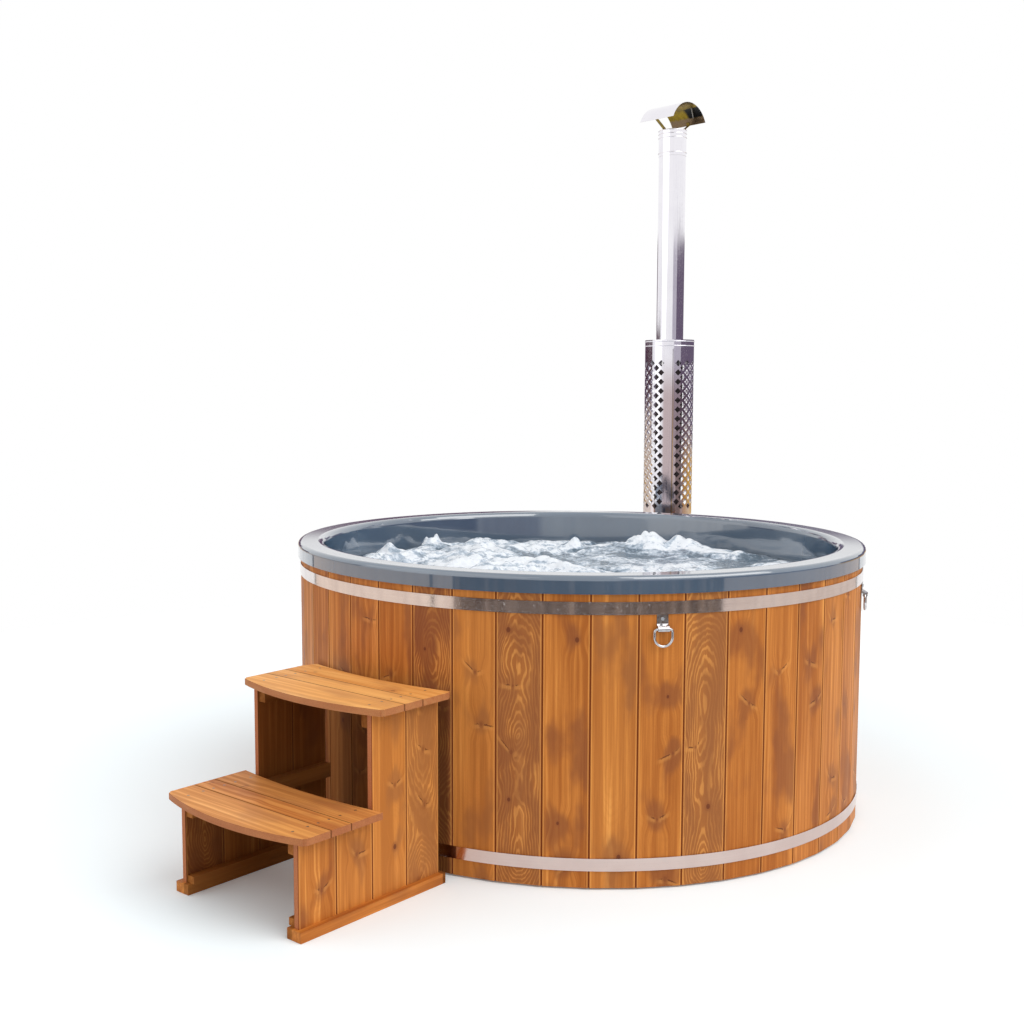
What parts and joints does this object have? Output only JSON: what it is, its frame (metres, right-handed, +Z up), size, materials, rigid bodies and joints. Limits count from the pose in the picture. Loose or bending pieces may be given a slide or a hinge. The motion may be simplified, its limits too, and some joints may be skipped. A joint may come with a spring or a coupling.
{
  "type": "round hot tub",
  "caption": "Round wood-fired hot tub: moulded shell clad in oiled spruce boards with steel hoops, bowed two-tread steps, outside stove with guarded flue and arched hood.",
  "frame": {"origin": "on the ground at the tub's upright axis, on the underside of the middle bearer", "axes": "+Z up; -Y is the front, from which the steps stand 36 degrees to the left; the stove stands at the back, 18.5 degrees from +Y towards +X"},
  "size_m": [2.1918, 3.0533, 2.731],
  "materials": {
    "gelcoat": "glossy slate blue-grey gelcoat",
    "foam": "cut rigid foam",
    "board_wood": "oiled spruce, warm orange-brown",
    "step_wood": "oiled spruce, slightly browner",
    "raw_wood": "planed softwood",
    "plywood": "plywood",
    "stainless": "smooth rolled stainless steel",
    "flue_steel": "mirror-polished stainless steel",
    "zinc_steel": "bright zinc-plated steel",
    "white_plastic": "moulded white plastic",
    "grey_plastic": "moulded dark grey plastic",
    "red_plastic": "moulded red plastic",
    "rubber": "black rubber",
    "brass": "turned brass",
    "stove_steel": "heat-resistant black paint on steel plate",
    "cast_iron": "cast iron",
    "glass": "smoked stove glass",
    "rope": "woven glass rope"
  },
  "bodies": {
    "root": {"tub_liner": "gelcoat", "foam_insulation": "foam", "staves": "board_wood", "upper_hoop": "stainless", "lower_hoop": "stainless", "hoop_bolts": "zinc_steel", "bearers": "raw_wood", "base_deck": "plywood", "bench_posts": "raw_wood", "lug_plates": "stainless", "lug_screws": "zinc_steel", "drain_flange": "white_plastic", "drain_pipe": "grey_plastic", "drain_valve_body": "brass", "drain_hose_tail": "brass", "water_fittings": "white_plastic", "pipe_nuts": "grey_plastic", "rubber_sleeves": "rubber", "hose_clamps": "stainless", "air_nozzles": "stainless", "air_ring": "grey_plastic", "air_hose": "rubber", "blower_housing": "grey_plastic", "blower_motor": "zinc_steel", "cable_gland": "grey_plastic", "button_bezel": "stainless", "stove_jacket": "stove_steel", "stove_legs": "stove_steel", "stove_front": "stove_steel", "door_gasket": "rope", "door_keeper": "stove_steel", "fire_grate": "cast_iron", "stove_drain_plug": "brass", "flue_collar": "stove_steel", "flue_pipe_lower": "flue_steel", "pipe_coupler": "stainless", "flue_pipe_upper": "flue_steel", "guard_shell": "flue_steel", "guard_brackets": "stainless", "cap_collar": "flue_steel", "cap_legs": "flue_steel", "cap_hood": "flue_steel", "step_frame": "step_wood", "left_panel": "step_wood", "right_panel": "step_wood", "lower_tread": "step_wood", "upper_tread": "step_wood"},
    "ring_1": {"d_ring_1": "stainless"},
    "ring_2": {"d_ring_2": "stainless"},
    "ring_3": {"d_ring_3": "stainless"},
    "ring_4": {"d_ring_4": "stainless"},
    "drain_lever": {"drain_lever": "red_plastic"},
    "impeller": {"blower_impeller": "white_plastic"},
    "air_button": {"air_button": "grey_plastic"},
    "stove_door": {"stove_door": "cast_iron", "door_glass": "glass"},
    "door_latch": {"door_latch": "stainless"},
    "ash_drawer": {"ash_drawer": "stove_steel"},
    "air_regulator": {"air_regulator": "stainless"},
    "damper": {"damper": "cast_iron"}
  },
  "joints": [
    {"name": "ring_1_swing", "type": "hinge", "parent": "root", "child": "ring_1", "pos_m": [0.25631, -0.97699, 0.779], "axis": [-0.9673, -0.2538, 0], "range_deg": [-7, 160]},
    {"name": "ring_2_swing", "type": "hinge", "parent": "root", "child": "ring_2", "pos_m": [0.97638, -0.26711, 0.779], "axis": [-0.2639, -0.9646, 0], "range_deg": [-7, 160]},
    {"name": "ring_3_swing", "type": "hinge", "parent": "root", "child": "ring_3", "pos_m": [-0.25687, 0.97912, 0.779], "axis": [0.9673, 0.2538, 0], "range_deg": [-7, 160]},
    {"name": "ring_4_swing", "type": "hinge", "parent": "root", "child": "ring_4", "pos_m": [-0.97425, 0.26652, 0.779], "axis": [0.2639, 0.9646, 0], "range_deg": [-7, 160]},
    {"name": "drain_valve_turn", "type": "hinge", "parent": "root", "child": "drain_lever", "pos_m": [-0.175, 1.0272, 0.06], "axis": [0, 0, -1], "range_deg": [0, 90]},
    {"name": "impeller_spin", "type": "hinge", "parent": "root", "child": "impeller", "pos_m": [-0.30615, 0.7391, 0.13], "axis": [0, 0, 1], "continuous": true},
    {"name": "air_button_press", "type": "slide", "parent": "root", "child": "air_button", "axis": [0.4493, -0.8934, 0], "range_m": [0, 0.004], "stiffness_N_per_m": 800},
    {"name": "stove_door_swing", "type": "hinge", "parent": "root", "child": "stove_door", "pos_m": [0.3656, 1.57171, 0.55], "axis": [0, 0, 1], "range_deg": [0, 120]},
    {"name": "door_latch_turn", "type": "hinge", "parent": "stove_door", "child": "door_latch", "pos_m": [0.61835, 1.50138, 0.55], "axis": [0.3173, 0.9483, 0], "range_deg": [0, 90]},
    {"name": "ash_drawer_pull", "type": "slide", "parent": "root", "child": "ash_drawer", "axis": [0.3173, 0.9483, 0], "range_m": [0, 0.3]},
    {"name": "air_regulator_turn", "type": "hinge", "parent": "ash_drawer", "child": "air_regulator", "pos_m": [0.56143, 1.50461, 0.238], "axis": [0.3173, 0.9483, 0], "range_deg": [0, 60]},
    {"name": "damper_turn", "type": "hinge", "parent": "root", "child": "damper", "pos_m": [0.41884, 1.25179, 0.856], "axis": [0.9483, -0.3173, 0], "range_deg": [0, 90]}
  ]
}
